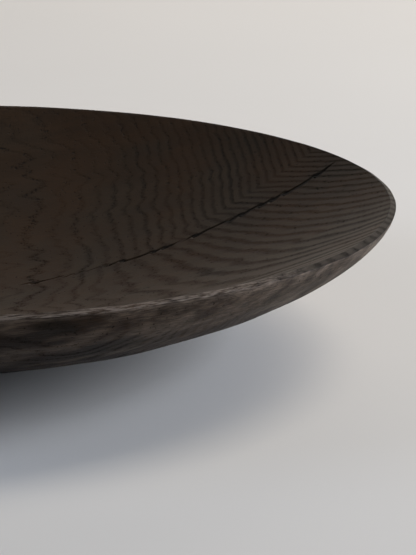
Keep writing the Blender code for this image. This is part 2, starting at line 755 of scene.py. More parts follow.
    def bearing(self, radius: np.ndarray) -> np.ndarray:
        """Angle round the bowl's axis at which the check lies, by distance from the axis.

        Args:
            radius: distances from the axis.

        Returns:
            Angle from +X, held level inside the check's inner end.
        """
        along = np.linspace(self.inner_end, self.outer_end, self.bearing_samples)
        line = self.surface_points(along, np.zeros_like(along))
        distance = np.hypot(line[:, 0], line[:, 1])
        angle = np.arctan2(line[:, 1], line[:, 0])
        return np.interp(radius, distance, angle)


@dataclass(frozen=True)
class ToolMarks:
    """Flat facets that a knife left on the outside, in courses round the wall."""

    # Each course lies at a share of the wall's length from the rim down.
    courses: tuple[float, ...] = (0.05, 0.2, 0.38, 0.58, 0.8)
    facet_length: float = 27.0 * MM
    shallow: float = 0.06 * MM
    deep: float = 0.46 * MM
    tilt: float = math.radians(1.3)
    softness: float = 0.015 * MM
    fewest: int = 9
    # A facet shifts by a share of its place in the course and of the wall's length.
    sideways: float = 0.28
    endways: float = 0.05
    # It only cuts where the wall faces its way, and within this many lengths of its middle.
    least_facing: float = 0.85
    reach: float = 2.2
    scoops: int = 40
    scoop_band: tuple[float, float] = (0.1, 0.8)
    scoop_radius: float = 7.0 * MM
    scoop_depth: float = 0.32 * MM
    seed: int = 11

    def cuts(self, line: np.ndarray, normals: np.ndarray) -> tuple[np.ndarray, np.ndarray]:
        """Choose where the knife cut: a middle point and a facing for each facet.

        Args:
            line: the wall's half section, radius and height, from the rim down.
            normals: its outward normals.

        Returns:
            Middle points, each let in below the wall, and unit facings.
        """
        draw = np.random.default_rng(self.seed)
        centres, facings = [], []
        places = np.linspace(0.0, 1.0, len(line))
        for course, share in enumerate(self.courses):
            girth = 2.0 * math.pi * float(np.interp(share, places, line[:, 0]))
            count = max(self.fewest, round(girth / self.facet_length))
            shuffle = draw.uniform(-self.sideways, self.sideways, count)
            angle = 2.0 * math.pi * ((np.arange(count) + 0.5 * (course % 2) + shuffle) / count)
            where = np.clip(share + draw.uniform(-self.endways, self.endways, count), 0.0, 1.0)
            radius, height = read_line(line, places, where).T
            normal = read_line(normals, places, where)
            lean = np.arctan2(normal[:, 1], normal[:, 0]) + draw.normal(0.0, self.tilt, count)
            yaw = angle + draw.normal(0.0, self.tilt, count)
            facing = around_axis(np.cos(lean), yaw, np.sin(lean))
            inset = draw.uniform(self.shallow, self.deep, count)[:, None]
            centres.append(around_axis(radius, angle, height) - inset * facing)
            facings.append(facing)
        return np.concatenate(centres), np.concatenate(facings)

    def depth_at(
        self, points: np.ndarray, outward: np.ndarray, line: np.ndarray, normals: np.ndarray
    ) -> np.ndarray:
        """How far the carved wall lies below the turned one.

        Along the outward normal n a facet with middle q and facing f is (p - q) . f / (n . f) below
        point p.  The deepest facet wins, softened where two meet.  Scoops add shallow round hollows.

        Args:
            points: positions on the turned wall.
            outward: its unit normals.
            line: the wall's half section.
            normals: the half section's normals.

        Returns:
            Depth at each point, zero or more.
        """
        centres, facings = self.cuts(line, normals)
        facing = outward @ facings.T
        ahead = (points @ facings.T) - (centres * facings).sum(axis=1)
        least = self.least_facing
        below = np.where(facing > least, ahead / np.maximum(facing, least), -1.0)
        away = np.linalg.norm(points[..., None, :] - centres, axis=-1)
        below = np.where(away < self.reach * self.facet_length, below, -1.0)
        deepest = below.max(axis=-1)
        summed = np.exp(np.clip((below - deepest[..., None]) / self.softness, -40.0, 0.0)).sum(axis=-1)
        depth = deepest + self.softness * np.log(summed)
        draw = np.random.default_rng(self.seed + 1)
        places = np.linspace(0.0, 1.0, len(line))
        share = draw.uniform(*self.scoop_band, self.scoops)
        angle = draw.uniform(0.0, 2.0 * math.pi, self.scoops)
        radius, height = read_line(line, places, share).T
        middles = around_axis(radius, angle, height)
        gap = np.linalg.norm(points[..., None, :] - middles, axis=-1) / self.scoop_radius
        hollow = self.scoop_depth * (np.clip(1.0 - gap**2, 0.0, 1.0) ** 2).sum(axis=-1)
        return np.clip(depth, 0.0, None) + hollow


@dataclass(frozen=True)
class BowlBody:
    """The bowl itself: one block of wood, dished inside, knife-faceted outside, with its check."""

    section: Section
    rings: GrowthRings
    check: DryingCheck
    marks: ToolMarks
    rows: RowCounts = RowCounts()
    # Columns of the grid: even ones, more beside the check, and how far these spread, in radians.
    even_columns: int = 322
    check_columns: int = 90
    check_spread: float = 0.018
    column_samples: int = 40001
    # The dish swells and falls by a little, as scraped wood does.
    dish_swell: float = 0.16 * MM
    dish_ripples: tuple[Ripple, ...] = (Ripple(0.35, 60.0 * MM, 3), Ripple(0.15, 18.0 * MM, 4))
    # The wall's cuts fade out just above the base.
    foot_start: float = 0.3 * MM
    foot_end: float = 5.0 * MM
    # The base is planed by hand, and its edge is level.
    base_marks: float = 0.12 * MM
    base_ripples: tuple[Ripple, ...] = (Ripple(0.6, 14.0 * MM, 7),)
    base_margin: float = 6.0 * MM
    base_level: float = 0.01 * MM
    # The rim wanders in and down; these ripples are read on a circle of radius one.
    rim_wander: float = 0.40 * MM
    rim_drop_share: float = 0.6
    rim_reach: float = 9.0 * MM
    rim_pull_ripples: tuple[Ripple, ...] = (Ripple(0.5, 0.55, 21), Ripple(0.2, 0.12, 22))
    rim_pull_most: float = 1.2
    rim_drop_ripples: tuple[Ripple, ...] = (Ripple(0.5, 0.7, 23),)
    # Wear and a painted highlight at the rim's two arrises, and where the rim stops being side grain.
    wear_and_highlight_reach: float = 0.22 * MM
    side_grain_until: float = 0.62
    end_grain_from: float = 0.86
    rim_dash_stretch: float = 9.0

    def column_angles(self) -> np.ndarray:
        """Angles of the columns from the check's own column: even, with more beside the check.

        They are read at equal steps of the running sum of  even + crowd exp(-(angle / spread)^2).

        Returns:
            Angles, one for each column.
        """
        angle = np.linspace(-math.pi, math.pi, self.column_samples)
        crowd = self.check_columns / (self.check_spread * math.sqrt(math.pi))
        even = self.even_columns / (2.0 * math.pi)
        total = np.cumsum(even + crowd * np.exp(-((angle / self.check_spread) ** 2)))
        total = (total - total[0]) / (total[-1] - total[0])
        count = self.even_columns + self.check_columns
        return np.interp(np.arange(count) / count, total, angle)

    def turned_points(self, outline: Outline) -> tuple[np.ndarray, np.ndarray]:
        """Sweep the outline round the axis: (r cos a, r sin a, h), with a turned to follow the check.

        Args:
            outline: half section, from the dish's centre to the base's centre.

        Returns:
            Points and outward normals, rings by columns, without the two poles.
        """
        radius, height = np.split(outline.points[1:-1], 2, axis=1)
        bearing = self.check.bearing(radius)
        inside = outline.rows_of(Stretch.DISH)[1:-1]
        bearing = np.where(inside[:, None], bearing, bearing[inside][-1])
        angle = bearing + self.column_angles()
        out, up = np.split(outline.normals()[1:-1], 2, axis=1)
        return around_axis(radius, angle, height), around_axis(out, angle, up)

    def wall_cut(self, outline: Outline, points: np.ndarray, outward: np.ndarray) -> np.ndarray:
        """How deep the knife went on the wall, and the plane on the base.

        Args:
            outline: the half section.
            points: points of the turned wall and base.
            outward: their unit normals.

        Returns:
            Depth at each point.
        """
        on_wall = outline.rows_of(Stretch.WALL)
        carved = self.marks.depth_at(points, outward, outline.points[on_wall], outline.normals()[on_wall])
        carved = carved * smooth_step(self.foot_start, self.foot_end, points[..., 2])
        flat = points[:, 0, 2] < self.base_level
        base = points[flat]
        margin = self.section.base_radius - np.hypot(base[..., 0], base[..., 1])
        planed = self.base_marks * uneven(base, self.base_ripples)
        carved[flat] = planed * smooth_step(0.0, self.base_margin, margin)
        return carved

    def rim_shift(self, points: np.ndarray) -> np.ndarray:
        """How far the rim drifts inwards and down: a ripple times exp(-(distance / reach)^2).

        Args:
            points: points of the turned bowl.

        Returns:
            Distances to take off each point, outwards and upwards.
        """
        radius = np.hypot(points[..., 0], points[..., 1])
        around = points[..., :2] / radius[..., None]
        gap = np.stack([radius - self.section.rim_radius, points[..., 2] - self.section.height], axis=-1)
        close = np.exp(-((np.linalg.norm(gap, axis=-1) / self.rim_reach) ** 2))
        pull = uneven(around, self.rim_pull_ripples, self.rim_pull_most)
        drop = uneven(around, self.rim_drop_ripples)
        inwards = (self.rim_wander * pull * close)[..., None] * around
        downwards = self.rim_drop_share * self.rim_wander * drop * close
        return np.concatenate([inwards, downwards[..., None]], axis=-1)

    def carved_points(self, outline: Outline) -> tuple[np.ndarray, np.ndarray]:
        """Let the hand work into the turned shape, always inwards.

        The rim's edge moves with its two neighbours, by an even share of each one's shift.

        Args:
            outline: the half section.

        Returns:
            Carved points, and the check's painted shade and stain at each.
        """
        points, outward = self.turned_points(outline)
        kinds = outline.kinds[1:-1]
        dish = kinds == Stretch.DISH.value
        wall = kinds >= Stretch.WALL.value
        amount = np.zeros(points.shape[:2])
        amount[dish] = self.dish_swell * uneven(points[dish], self.dish_ripples)
        amount[wall] = self.wall_cut(outline, points[wall], outward[wall])
        moved = points - amount[..., None] * outward
        edge = np.flatnonzero(kinds == Stretch.EDGE.value)
        share = np.linspace(0.0, 1.0, len(edge) + 2)[1:-1, None, None]
        shift = moved - points
        moved[edge] = points[edge] + (1.0 - share) * shift[edge[0] - 1] + share * shift[edge[-1] + 1]
        moved -= self.rim_shift(points)
        depth = np.zeros(points.shape[:2])
        depth[dish] = self.check.depth_at(points[dish])
        shade = np.zeros(points.shape[:2])
        shade[dish] = self.check.shade_at(points[dish])
        return moved + depth[..., None] * self.check.down, shade

    def store_looks(
        self, mesh: bpy.types.Mesh, outline: Outline, points: np.ndarray, shade: np.ndarray
    ) -> None:
        """Keep what the wood's finish reads: the check, the rim, end grain and the outside.

        End grain is |normal . X| of the turned shape.  Wear and the painted highlight go as
        exp(-(distance / reach)^2) from the rim's nearer arris.

        Args:
            mesh: the bowl's mesh.
            outline: the half section.
            points: carved points, rings by columns.
            shade: the check's painted shade and stain.
        """
        section = self.section
        level = np.ones(points.shape[:2])
        kinds = outline.kinds[1:-1, None]
        turn = np.arctan2(points[..., 1], points[..., 0])
        side = 1.0 - smooth_step(self.side_grain_until, self.end_grain_from, np.abs(np.cos(turn)))
        inner, outer = (section.dish_radius, section.height), (section.rim_radius, section.wall_top)
        away = np.linalg.norm(outline.points[1:-1, None, :] - np.array([inner, outer]), axis=-1)
        away = away.min(axis=1, keepdims=True)
        # Painted shade on the check's walls, and stain beside them.
        store_grid(mesh, "check_shade_and_stain", shade)
        store_grid(mesh, "end_grain", np.abs(outline.normals()[1:-1, :1] * np.cos(turn)))
        store_grid(mesh, "side_rim", side)
        store_grid(mesh, "rim_edge", (kinds == Stretch.EDGE.value) * level)
        store_grid(mesh, "outside", (kinds >= Stretch.WALL.value) * level, last=1.0)
        # Wear and painted highlight near the rim's arrises.
        store_grid(mesh, "rim_wear_and_highlight", np.exp(-((away / self.wear_and_highlight_reach) ** 2)) * level)
        run = self.rim_dash_stretch * running_length(outline.points[1:-1])[:, None]
        pole = np.zeros((1, 3))
        places = around_axis(section.rim_radius, turn, run).reshape(-1, 3)
        places = np.concatenate([pole, places, pole])
        placed = mesh.attributes.new("rim_place", "FLOAT_VECTOR", "POINT")
        placed.data.foreach_set("vector", places.astype(np.float32).ravel())

    def build(self) -> bpy.types.Object:
        """Make the bowl's mesh with its growth rings, its rim's wear and painted highlight, and its check
        as attributes.

        Returns:
            The bowl.
        """
        outline = self.section.outline(self.rows)
        points, shade = self.carved_points(outline)
        first, last = (np.array([[0.0, 0.0, outline.points[end, 1]]]) for end in (0, -1))
        everything = np.concatenate([first, points.reshape(-1, 3), last])
        mesh = build_mesh("carved_bowl", everything, closed_grid_faces(*points.shape[:2]))
        near, far = self.rings.counts(everything)
        store_value(mesh, "rings_near", near)
        store_value(mesh, "rings_far", far)
        self.store_looks(mesh, outline, points, shade)
        return new_piece(mesh)

    def dress(self, bowl: bpy.types.Object, wood: bpy.types.Material) -> None:
        """Give the bowl its finish, and let it stand for its plain solid."""
        dress_piece(bowl, wood, BOWL_NODE)


@dataclass(frozen=True)
class CheckStopping:
    """One strip of the black wax that is pressed into the check, a little below the dish."""

    check: DryingCheck
    node: str
    start: float
    end: float
    # Below the dish, and in the crack: how thick it is and the share of the width that it fills.
    recess: float = 0.55 * MM
    thickness: float = 0.75 * MM
    fill: float = 0.80
    squareness: float = 2.6
    end_power: float = 8.0
    # Lumps along the strip: share of its thickness, and length.
    lumps: tuple[tuple[float, float], ...] = ((0.12, 2.3 * MM), (0.08, 0.9 * MM))
    pitch: float = 0.7 * MM
    fewest_rings: int = 12
    around: int = 14

    def build(self) -> bpy.types.Object:
        """Carry a rounded square along the check, narrowing to a point at each end.

        The section is |u|^n + |v|^n = 1, with u across the check and v along its depth.  Its size
        falls off as the root of 1 - |distance from the middle|^8.  Sine waves make it lumpy.

        Returns:
            The strip.
        """
        count = max(self.fewest_rings, round((self.end - self.start) / self.pitch))
        along = np.linspace(self.start, self.end, count + 2)[1:-1]
        turn = np.linspace(0.0, 2.0 * math.pi, self.around, endpoint=False)
        share = 2.0 / self.squareness
        across = np.sign(np.cos(turn)) * np.abs(np.cos(turn)) ** share
        deep = np.sign(np.sin(turn)) * np.abs(np.sin(turn)) ** share
        middle = (self.start + self.end) / 2.0
        reach = (self.end - self.start) / 2.0
        taper = (1.0 - np.abs((along - middle) / reach) ** self.end_power) ** 0.5
        half = self.fill * taper * self.check.half_width(along)
        off = self.check.aside(along)[:, None] + half[:, None] * across
        sunk = self.recess + self.thickness / 2.0
        lumpy = np.ones_like(along)
        for height, length in self.lumps:
            lumpy = lumpy + height * np.sin(along / length)
        depth = sunk + 0.5 * self.thickness * taper[:, None] * lumpy[:, None] * deep
        places = np.broadcast_to(along[:, None], off.shape)
        points = self.check.surface_points(places, off) + depth[..., None] * self.check.down
        tips = np.array([self.start, self.end])
        ends = self.check.surface_points(tips, self.check.aside(tips)) + sunk * self.check.down
        everything = np.concatenate([ends[:1], points.reshape(-1, 3), ends[1:]])
        name = self.node.replace("fill", "wax")
        return new_piece(build_mesh(name, everything, closed_grid_faces(count, self.around)))

    def dress(self, strip: bpy.types.Object, wax: bpy.types.Material) -> None:
        """Give the strip its finish, and let it stand for its plain solid."""
        dress_piece(strip, wax, self.node)


@dataclass(frozen=True)
class Pattern:
    """One noise in the wood: its lumps' size, how much longer they are along the grain, its detail."""

    name: str
    size: float
    stretch: float
    detail: float
    roughness: float


@dataclass(frozen=True)
class Span:
    """A result that goes from first to last while a value goes from low to high, and holds beyond."""

    low: float
    high: float
    first: float
    last: float

    def of(self, value: bpy.types.NodeSocket) -> dict[int, object]:
        """Inputs of the range node that reads the value."""
        return {0: value, 1: self.low, 2: self.high, 3: self.first, 4: self.last}


AddNode = Callable[..., bpy.types.NodeSocket]
Sockets = dict[str, bpy.types.NodeSocket]


@dataclass(frozen=True)
class StainedAsh:
    """Ash, cut with a knife, stained nearly black and waxed.

    To the eye: wide growth rings, a dark porous line at each ring's start, fine dashes along the
    grain where pores are cut open, a dull sheen on the dense wood, and a paler rim, worn and with a
    painted highlight along its arrises.  Painted shade darkens the check's walls and the outside's
    side grain, and painted sheen lightens the outside where it turns to end grain.
    """

    early: str = "080502"
    middle: str = "1f160b"
    late: str = "2b2015"
    warm: str = "2c1b0b"
    # Painted shade for the outside's side-grain walls.
    outside_painted_shade: str = "a08e7c"
    # Painted sheen for the outside where it turns to end grain.
    outside_painted_sheen: str = "5c5147"
    pore: str = "0b0806"
    # Pale wear with a painted highlight along the rim's arrises.
    worn_and_highlit: str = "84796f"
    # Painted shade for the check's walls, and its stain.
    crack: str = "040302"
    sheen_tint: str = "fff0e2"
    patterns: tuple[Pattern, ...] = (
        # Growth wavers along a ring by a fraction of its width, at three sizes.
        Pattern("fine_wobble", 3.2 * MM, 25.0, 2.0, 0.55),
        Pattern("middling_wobble", 11.0 * MM, 25.0, 1.0, 0.55),
        Pattern("broad_wobble", 26.0 * MM, 25.0, 1.0, 0.55),
        # Real pores are 0.3 mm wide; these clusters are drawn several times coarser.
        Pattern("dots", 1.5 * MM, 0.6, 1.0, 0.5),
        Pattern("mottle", 1.3 * MM, 0.6, 3.0, 0.6),
        Pattern("fibre", 0.9 * MM, 25.0, 3.0, 0.5),
        Pattern("streak", 1.6 * MM, 25.0, 3.0, 0.65),
        Pattern("tone", 34.0 * MM, 1.0, 2.0, 0.55),
        Pattern("patch", 9.0 * MM, 2.5, 2.0, 0.55),
    )
    # The rim's pore dashes: about 1 mm on real ash, drawn coarser here.
    rim_dash_size: float = 5.0 * MM
    rim_dash_detail: float = 3.0
    rim_dash_roughness: float = 0.65
    relief: float = 0.10 * MM
    # Ring lines: how many rings each waver is worth, and the darkness of a line through its ring.
    wobble_rings: tuple[tuple[str, float], ...] = (
        ("fine_wobble", 0.66), ("middling_wobble", 2.4), ("broad_wobble", 1.0),
    )
    line: tuple[tuple[float, float], ...] = (
        (0.0, 0.80), (0.07, 1.0), (0.20, 0.95), (0.36, 0.36), (0.50, 0.0), (0.86, 0.0), (1.0, 0.80),
    )
    # A year's own strength changes here, between two lines, and may take off this share.
    year_turn: float = 0.7
    year_loss: float = 0.60
    # By end grain: wavering, the lines' thinness, how far their dots join, how faint they are outside.
    calm: Span = Span(0.08, 0.34, 1.0, 0.35)
    thinning: Span = Span(0.08, 0.28, 2.2, 0.8)
    joined: Span = Span(0.10, 0.30, 0.0, 0.75)
    joined_level: float = 0.85
    faint: Span = Span(0.22, 0.42, 0.0, -0.72)
    dotted: Span = Span(0.42, 0.58, 0.45, 1.0)
    # Open pores: the dots' threshold, what dense wood adds to it, and their darkness above it.
    pore_threshold: float = 0.58
    pore_rise: float = 0.12
    pore_darkness: Span = Span(0.0, 0.067, 0.0, 0.8)
    # Tones of the whole wood, by its noises.
    warmth: Span = Span(0.40, 0.58, 0.0, 0.8)
    cloud: Span = Span(0.36, 0.64, 0.84, 1.14)
    mottle: Span = Span(0.30, 0.70, 0.78, 1.22)
    fibre: Span = Span(0.3, 0.7, 0.80, 1.15)
    fibre_share: float = 0.6
    # Tones of the outside: painted shade on the side-grain walls, painted sheen in patches where the wall
    # turns to end grain, streaks, dashes, blotches.
    deep: Span = Span(0.12, 0.34, 0.8, 0.0)
    # Painted sheen: how far the outside lightens with end grain and in patches.
    painted_sheen: Span = Span(0.0, 1.0, 0.0, 1.0)
    painted_sheen_rise: float = 0.95
    painted_sheen_patch: Span = Span(0.38, 0.64, -0.30, 0.34)
    streak: Span = Span(0.35, 0.65, 0.72, 1.18)
    hewn: Span = Span(0.36, 0.64, 0.50, 1.40)
    blotch: Span = Span(0.38, 0.62, 0.76, 1.08)
    # The rim: stain soaked into its end grain, wear and a painted highlight on its side grain, pores open
    # in the end grain.
    soaking: float = 0.85
    rubbed_and_highlit: Span = Span(0.42, 0.58, 0.05, 1.0)
    pitted: Span = Span(0.44, 0.58, 0.0, 0.75)
    # Roughness by density, and what mottle, pores and the check add to it.
    polish: tuple[tuple[float, float], ...] = ((0.0, 0.80), (0.6, 0.62), (1.0, 0.55))
    roughness_shares: tuple[float, float, float] = (0.16, 0.2, 0.4)
    # Relief of dense wood, and of fibre, mottle, pores, torn grain outside and chips at the rim.
    density_relief: float = 0.50
    relief_shares: tuple[float, float, float, float, float] = (0.12, 0.30, -0.5, 1.6, 1.2)
    specular: float = 0.18
    refraction: float = 1.5

    def ring_density(self, node: AddNode, wood: Sockets) -> bpy.types.NodeSocket:
        """Density of the wood: 1 in dense late wood, falling to 0 in the porous start of a ring.

        The ring number is the larger of two families' numbers, with its wavering added; the part
        after the decimal point says how far through the ring's growth a place is.  Some years' lines
        are stronger than others, and lines are thinner where the surface runs along the rings.

        Args:
            node: adds a node to the material.
            wood: the mesh's attributes and the noises, by name.

        Returns:
            The density.
        """
        grain = wood["end_grain"]
        count = node(Kind.MATH, {0: wood["rings_near"], 1: wood["rings_far"]}, operation="MAXIMUM")
        calm = node(Kind.RANGE, self.calm.of(grain))
        for (name, rings), soothed in zip(self.wobble_rings, (calm, calm, 1.0)):
            waver = node(Kind.MATH, {0: wood[name], 1: 0.5}, operation="SUBTRACT")
            waver = node(Kind.MATH, {0: waver, 1: soothed}, operation="MULTIPLY")
            count = node(Kind.MATH, {0: waver, 1: rings, 2: count}, operation="MULTIPLY_ADD")
        phase = node(Kind.MATH, {0: count}, operation="FRACT")
        band = node(Kind.RAMP, {"Fac": phase}, stops=self.line)
        thinning = node(Kind.RANGE, self.thinning.of(grain))
        band = node(Kind.MATH, {0: band, 1: thinning}, operation="POWER")
        year = node(Kind.MATH, {0: count, 1: self.year_turn}, operation="SUBTRACT")
        year = node(Kind.MATH, {0: year}, operation="FLOOR")
        year = node(Kind.CHANCE, {"W": year}, "Value", noise_dimensions="1D")
        year = node(Kind.MATH, {0: year, 1: calm}, operation="MULTIPLY")
        year = node(Kind.MATH, {0: year, 1: -self.year_loss, 2: 1.0}, operation="MULTIPLY_ADD")
        dotted = node(Kind.MIX, {
            Mix.FACTOR: node(Kind.RANGE, self.joined.of(grain)),
            Mix.FIRST: node(Kind.RANGE, self.dotted.of(wood["dots"])),
            Mix.SECOND: (self.joined_level, self.joined_level, self.joined_level, 1.0),
        }, Mix.RESULT, data_type="RGBA")
        faint = node(Kind.RANGE, self.faint.of(grain))
        faint = node(Kind.MATH, {0: wood["outside"], 1: faint, 2: 1.0}, operation="MULTIPLY_ADD")
        for share in (dotted, year, faint):
            band = node(Kind.MATH, {0: band, 1: share}, operation="MULTIPLY")
        return node(Kind.MATH, {0: 1.0, 1: band}, operation="SUBTRACT")

    def open_pores(self, node: AddNode, wood: Sockets) -> bpy.types.NodeSocket:
        """Where a pore is cut open: dots above a threshold that dense wood raises.

        Args:
            node: adds a node to the material.
            wood: attributes, noises and the density, by name.

        Returns:
            Darkness of the pore, 0 to 0.8.
        """
        raised = {0: wood["density"], 1: self.pore_rise, 2: self.pore_threshold}
        threshold = node(Kind.MATH, raised, operation="MULTIPLY_ADD")
        pores = node(Kind.MATH, {0: wood["dots"], 1: threshold}, operation="SUBTRACT")
        return node(Kind.RANGE, self.pore_darkness.of(pores))

    def colour(self, node: AddNode, wood: Sockets) -> bpy.types.NodeSocket:
        """Colour of the stained wood; of its rim, worn and with a painted highlight; of the check, whose
        walls carry painted shade and stain; and of the outside, with painted shade and painted sheen.

        Args:
            node: adds a node to the material.
            wood: attributes, noises, density, pores and the rim's dashes, by name.

        Returns:
            The colour.
        """
        sides, wear, outside = wood["side_rim"], wood["rim_wear_and_highlight"], wood["outside"]
        body = node(Kind.RAMP, {"Fac": wood["density"]}, stops=(
            (0.0, self.early), (0.5, self.middle), (1.0, self.late),
        ))
        # Painted shade: the outside darkens where its wall is side grain, the walls facing front and back.
        deep = node(Kind.RANGE, self.deep.of(wood["end_grain"]))
        deep = node(Kind.MATH, {0: deep, 1: outside}, operation="MULTIPLY")
        # Painted sheen: the outside lightens towards end grain, in patches.
        patch = node(Kind.RANGE, self.painted_sheen_patch.of(wood["patch"]))
        painted_sheen = {0: wood["end_grain"], 1: self.painted_sheen_rise, 2: patch}
        painted_sheen = node(Kind.RANGE, self.painted_sheen.of(node(Kind.MATH, painted_sheen, operation="MULTIPLY_ADD")))
        painted_sheen = node(Kind.MATH, {0: painted_sheen, 1: outside}, operation="MULTIPLY")
        ends = node(Kind.MATH, {0: 1.0, 1: sides}, operation="SUBTRACT")
        soaked = {0: sides, 1: -self.soaking, 2: self.soaking}
        soaked = node(Kind.MATH, soaked, operation="MULTIPLY_ADD")
        soaked = node(Kind.MATH, {0: soaked, 1: wood["rim_edge"]}, operation="MULTIPLY")
        # Wear with a painted highlight: pale dashes along the arrises of the rim's side grain.
        rubbed_and_highlit = node(Kind.RANGE, self.rubbed_and_highlit.of(wood["dashes"]))
        pitted = node(Kind.RANGE, self.pitted.of(wood["dots"]))
        for share in (wear, sides):
            rubbed_and_highlit = node(Kind.MATH, {0: rubbed_and_highlit, 1: share}, operation="MULTIPLY")
        for share in (wear, ends):
            pitted = node(Kind.MATH, {0: pitted, 1: share}, operation="MULTIPLY")
        for factor, shade, blend in (
            (node(Kind.RANGE, self.warmth.of(wood["tone"])), linear(self.warm), "MIX"),
            (1.0, node(Kind.RANGE, self.cloud.of(wood["patch"])), "MULTIPLY"),
            # painted shade on the outside's side grain
            (deep, linear(self.outside_painted_shade), "MULTIPLY"),
            (1.0, node(Kind.RANGE, self.mottle.of(wood["mottle"])), "MULTIPLY"),
            (self.fibre_share, node(Kind.RANGE, self.fibre.of(wood["fibre"])), "MULTIPLY"),
            # painted sheen on the outside
            (painted_sheen, linear(self.outside_painted_sheen), "MIX"),
            (outside, node(Kind.RANGE, self.streak.of(wood["streak"])), "MULTIPLY"),
            (outside, node(Kind.RANGE, self.hewn.of(wood["dashes"])), "MULTIPLY"),
            (outside, node(Kind.RANGE, self.blotch.of(wood["patch"])), "MULTIPLY"),
            (soaked, linear(self.early), "MIX"),
            (wood["pores"], linear(self.pore), "MIX"),
            # wear and painted highlight on the rim
            (rubbed_and_highlit, linear(self.worn_and_highlit), "MIX"),
            (pitted, linear(self.pore), "MIX"),
            # painted shade on the check's walls, and stain beside them
            (wood["check_shade_and_stain"], linear(self.crack), "MIX"),
        ):
            body = node(
                Kind.MIX, {Mix.FACTOR: factor, Mix.FIRST: body, Mix.SECOND: shade}, Mix.RESULT,
                data_type="RGBA", blend_type=blend,
            )
        return body

    def roughness(self, node: AddNode, wood: Sockets) -> bpy.types.NodeSocket:
        """Roughness: lowest on dense wood, higher in porous bands, pores and the check.

        Args:
            node: adds a node to the material.
            wood: attributes, noises, density and pores, by name.

        Returns:
            The roughness.
        """
        rough = node(Kind.RAMP, {"Fac": wood["density"]}, stops=self.polish)
        layers = (wood["mottle"], wood["pores"], wood["check_shade_and_stain"])
        for layer, amount in zip(layers, self.roughness_shares):
            rough = node(Kind.MATH, {0: layer, 1: amount, 2: rough}, operation="MULTIPLY_ADD")
        return rough

    def relief_normal(self, node: AddNode, wood: Sockets) -> bpy.types.NodeSocket:
        """Shading normal of the fine relief: proud dense wood, sunk pores, torn grain outside.

        Args:
            node: adds a node to the material.
            wood: attributes, noises, density, pores and the rim's dashes, by name.

        Returns:
            The normal.
        """
        torn = node(Kind.MATH, {0: wood["dashes"], 1: wood["outside"]}, operation="MULTIPLY")
        chips = node(Kind.MATH, {0: wood["dashes"], 1: wood["rim_wear_and_highlight"]}, operation="MULTIPLY")
        height = node(Kind.MATH, {0: wood["density"], 1: self.density_relief}, operation="MULTIPLY")
        layers = (wood["fibre"], wood["mottle"], wood["pores"], torn, chips)
        for layer, amount in zip(layers, self.relief_shares):
            height = node(Kind.MATH, {0: layer, 1: amount, 2: height}, operation="MULTIPLY_ADD")
        return node(Kind.BUMP, {"Distance": self.relief, "Height": height})

    def build(self) -> bpy.types.Material:
        """Build the wood's nodes.

        Returns:
            The material.
        """
        material = new_material("ash_stained_knife_carved_waxed")
        node = partial(add_node, material.node_tree)
        place = node(Kind.PLACE, output="Object")
        wood = {name: node(Kind.ATTRIBUTE, output="Fac", attribute_name=name) for name in BOWL_ATTRIBUTES}
        for pattern in self.patterns:
            where = node(Kind.MAPPING, {"Vector": place, "Scale": (1.0 / pattern.stretch, 1.0, 1.0)})
            wood[pattern.name] = node(Kind.NOISE, {
                "Vector": where, "Scale": 1.0 / pattern.size,
                "Detail": pattern.detail, "Roughness": pattern.roughness,
            })
        wood["density"] = self.ring_density(node, wood)
        wood["pores"] = self.open_pores(node, wood)
        wood["dashes"] = node(Kind.NOISE, {
            "Vector": node(Kind.ATTRIBUTE, output="Vector", attribute_name="rim_place"),
            "Scale": 1.0 / self.rim_dash_size,
            "Detail": self.rim_dash_detail, "Roughness": self.rim_dash_roughness,
        })
        surface = node(Kind.SHADER, {
            "Base Color": self.colour(node, wood),
            "Roughness": self.roughness(node, wood),
            "Normal": self.relief_normal(node, wood),
            "IOR": self.refraction,
            "Specular IOR Level": self.specular,
            "Specular Tint": linear(self.sheen_tint),
        })
        node(Kind.OUTPUT, {"Surface": surface})
        return material


@dataclass(frozen=True)
class BlackWax:
    """Hard black wax, pressed in warm and wiped: matt, a little lumpy, with dust in the hollows."""

    body: str = "040303"
    dusty: str = "0a0806"
    lump_size: float = 0.8 * MM
    relief: float = 0.08 * MM
    roughness: float = 0.75
    specular: float = 0.2
    refraction: float = 1.44

    def build(self) -> bpy.types.Material:
        """Build the wax's nodes.

        Returns:
            The material.
        """
        material = new_material("hard_wax_black_pressed_in")
        node = partial(add_node, material.node_tree)
        place = node(Kind.PLACE, output="Object")
        lumps = node(Kind.NOISE, {"Vector": place, "Scale": 1.0 / self.lump_size, "Detail": 3.0})
        surface = node(Kind.SHADER, {
            "Base Color": node(Kind.RAMP, {"Fac": lumps}, stops=((0.40, self.body), (0.72, self.dusty))),
            "Normal": node(Kind.BUMP, {"Distance": self.relief, "Height": lumps}),
            "IOR": self.refraction,
            "Roughness": self.roughness,
            "Specular IOR Level": self.specular,
        })
        node(Kind.OUTPUT, {"Surface": surface})
        return material


@dataclass(frozen=True)
class PaperSweep:
    """Matt off-white paper, laid flat: soft shading and a faint unevenness of tone."""

    colour: str = "e3e0d9"
    faint: str = "dedbd4"
    cloud_size: float = 200.0 * MM
    roughness: float = 0.9
    specular: float = 0.2

    def build(self) -> bpy.types.Material:
        """Build the paper's nodes.

        Returns:
            The material.
        """
        material = new_material("paper_matt_off_white")
        node = partial(add_node, material.node_tree)
        place = node(Kind.PLACE, output="Object")
        cloud = node(Kind.NOISE, {"Vector": place, "Scale": 1.0 / self.cloud_size, "Detail": 2.0})
        surface = node(Kind.SHADER, {
            "Base Color": node(Kind.RAMP, {"Fac": cloud}, stops=((0.0, self.faint), (1.0, self.colour))),
            "Roughness": self.roughness,
            "Specular IOR Level": self.specular,
        })
        node(Kind.OUTPUT, {"Surface": surface})
        return material


